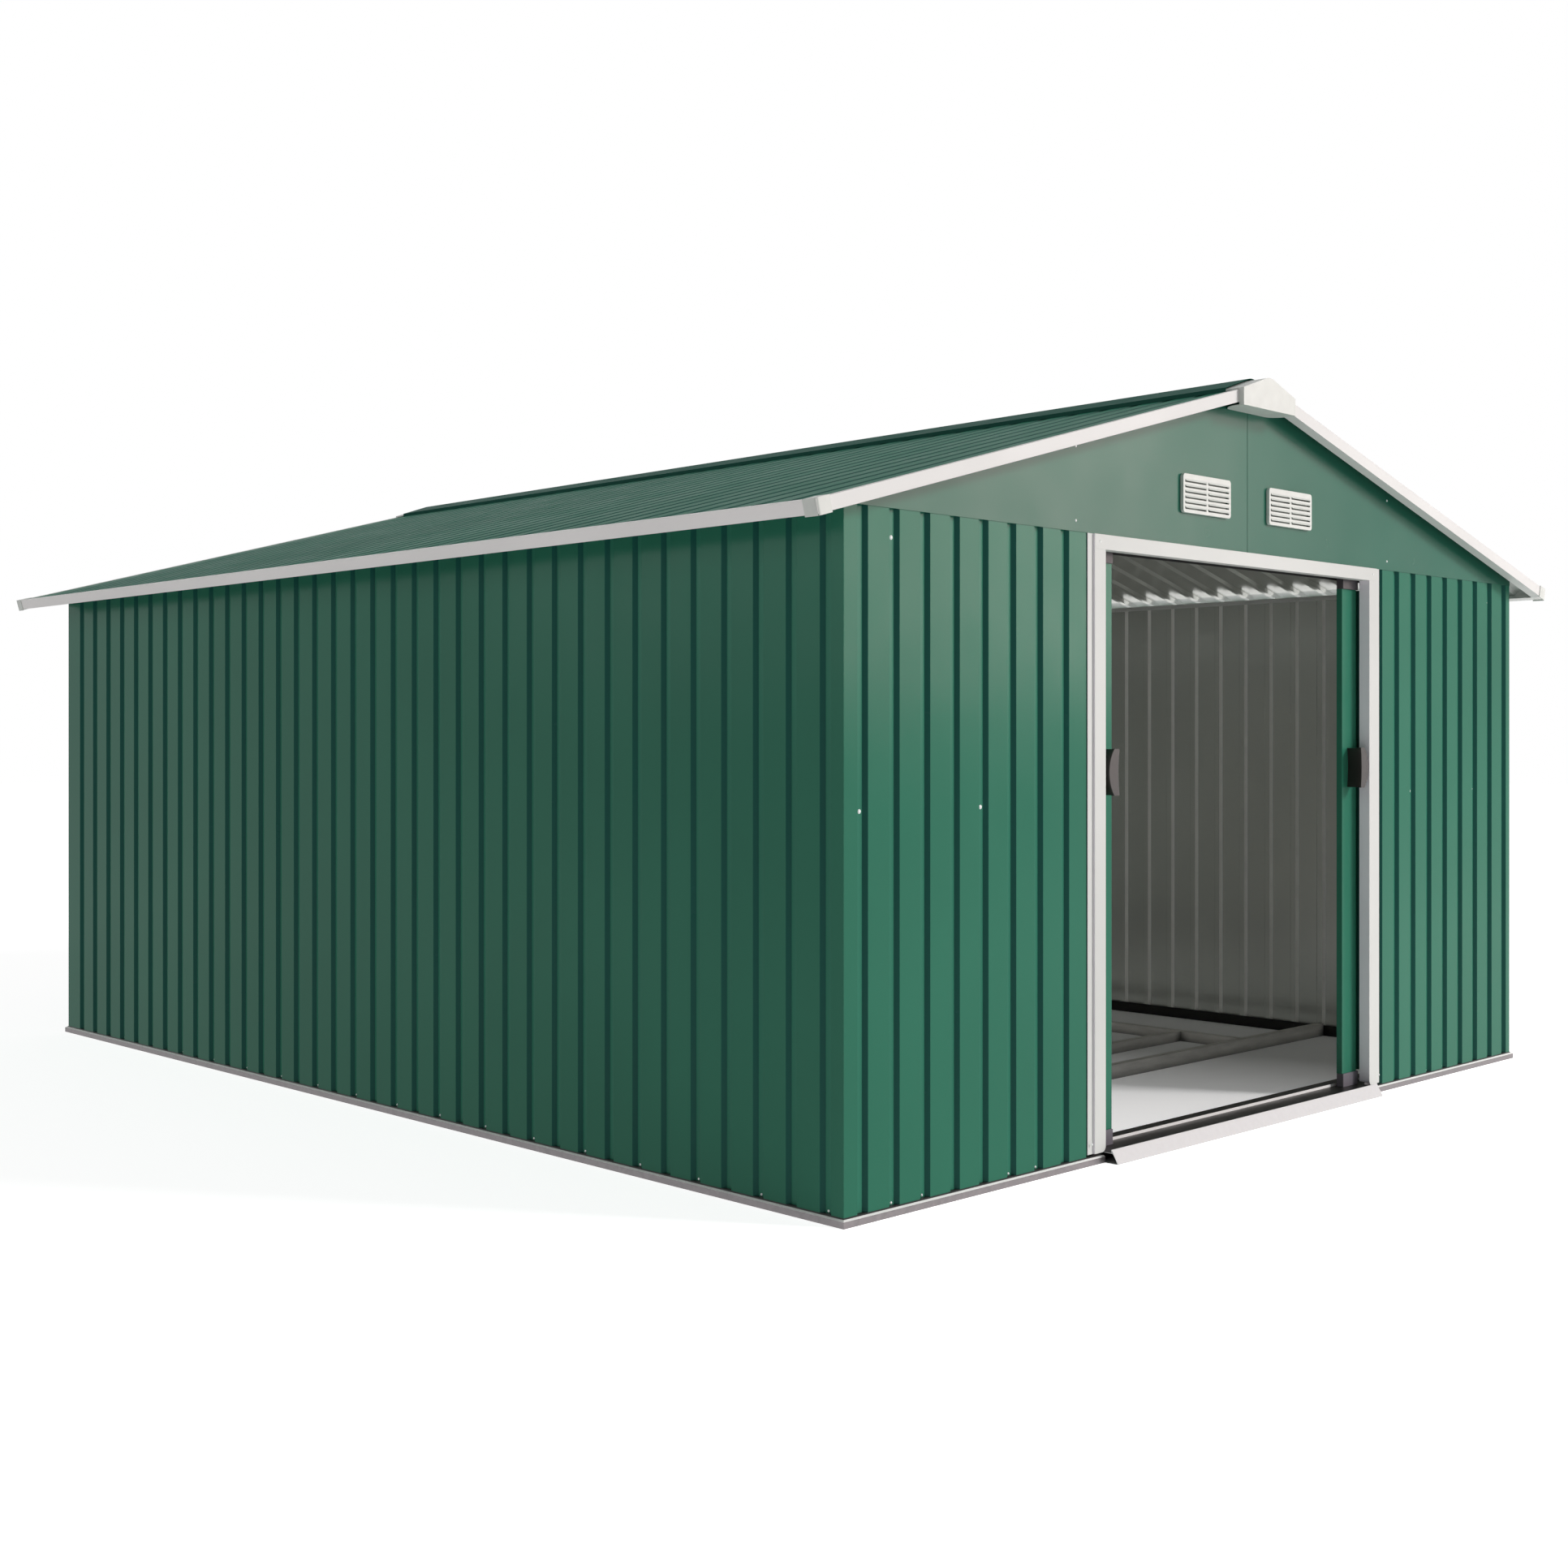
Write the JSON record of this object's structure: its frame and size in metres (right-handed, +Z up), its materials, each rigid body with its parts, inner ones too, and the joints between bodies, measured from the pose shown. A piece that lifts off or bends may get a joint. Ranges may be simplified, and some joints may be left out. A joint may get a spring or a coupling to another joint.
{
  "type": "metal storage shed",
  "caption": "Ribbed green steel storage shed with a low gable roof, white trims, gable vents and sliding double doors standing open.",
  "frame": {"origin": "on the ground in the middle of the shed's plan", "axes": "+Z up, the doors face -Y, +X to the right seen from the doors"},
  "size_m": [3.3844, 3.908, 1.9701],
  "materials": {
    "green_sheet": "satin paint outside, grey primer inside",
    "dark_green_sheet": "satin paint",
    "white_trim": "satin paint",
    "white_plastic": "matte",
    "galvanised_steel": "galvanised",
    "dark_steel": "matte primer",
    "handle_plastic": "satin",
    "guide_plastic": "matte"
  },
  "bodies": {
    "shed": {"base_rail_front_left": "galvanised_steel", "base_rail_front_right": "galvanised_steel", "base_rail_back": "galvanised_steel", "base_rail_left": "galvanised_steel", "base_rail_right": "galvanised_steel", "floor_beam_front": "dark_steel", "floor_beam_back": "dark_steel", "floor_runner_left": "dark_steel", "floor_runner_right": "dark_steel", "floor_joist_front": "dark_steel", "floor_joist_back": "dark_steel", "door_ramp": "galvanised_steel", "door_track_lower": "dark_steel", "door_track_upper": "dark_steel", "wall_left": "green_sheet", "wall_right": "green_sheet", "wall_back": "green_sheet", "wall_front_left": "green_sheet", "wall_front_right": "green_sheet", "top_rail_left": "dark_steel", "top_rail_right": "dark_steel", "top_rail_back": "dark_steel", "gable_front_left": "green_sheet", "gable_front_right": "green_sheet", "gable_back_left": "green_sheet", "gable_back_right": "green_sheet", "gable_vents": "white_plastic", "ridge_beam": "dark_steel", "purlin_left": "dark_steel", "purlin_right": "dark_steel", "roof_left": "green_sheet", "roof_right": "green_sheet", "ridge_cap": "dark_green_sheet", "rake_trim_front_left": "white_trim", "rake_trim_front_right": "white_trim", "rake_trim_back_left": "white_trim", "rake_trim_back_right": "white_trim", "eave_trim_left": "white_trim", "eave_trim_right": "white_trim", "roof_corner_caps": "white_plastic", "ridge_end_front": "white_plastic", "ridge_end_back": "white_plastic", "door_jamb_left": "white_trim", "door_jamb_right": "white_trim", "door_header": "white_trim"},
    "door_left": {"left_door": "green_sheet", "left_door_braces": "dark_steel", "left_door_handle": "handle_plastic", "left_door_runners": "guide_plastic"},
    "door_right": {"right_door": "green_sheet", "right_door_braces": "dark_steel", "right_door_handle": "handle_plastic", "right_door_runners": "guide_plastic"}
  },
  "joints": [
    {"name": "left_door_slide", "type": "slide", "parent": "shed", "child": "door_left", "axis": [1, 0, 0], "range_m": [0, 0.554]},
    {"name": "right_door_slide", "type": "slide", "parent": "shed", "child": "door_right", "axis": [-1, 0, 0], "range_m": [0, 0.554]}
  ]
}
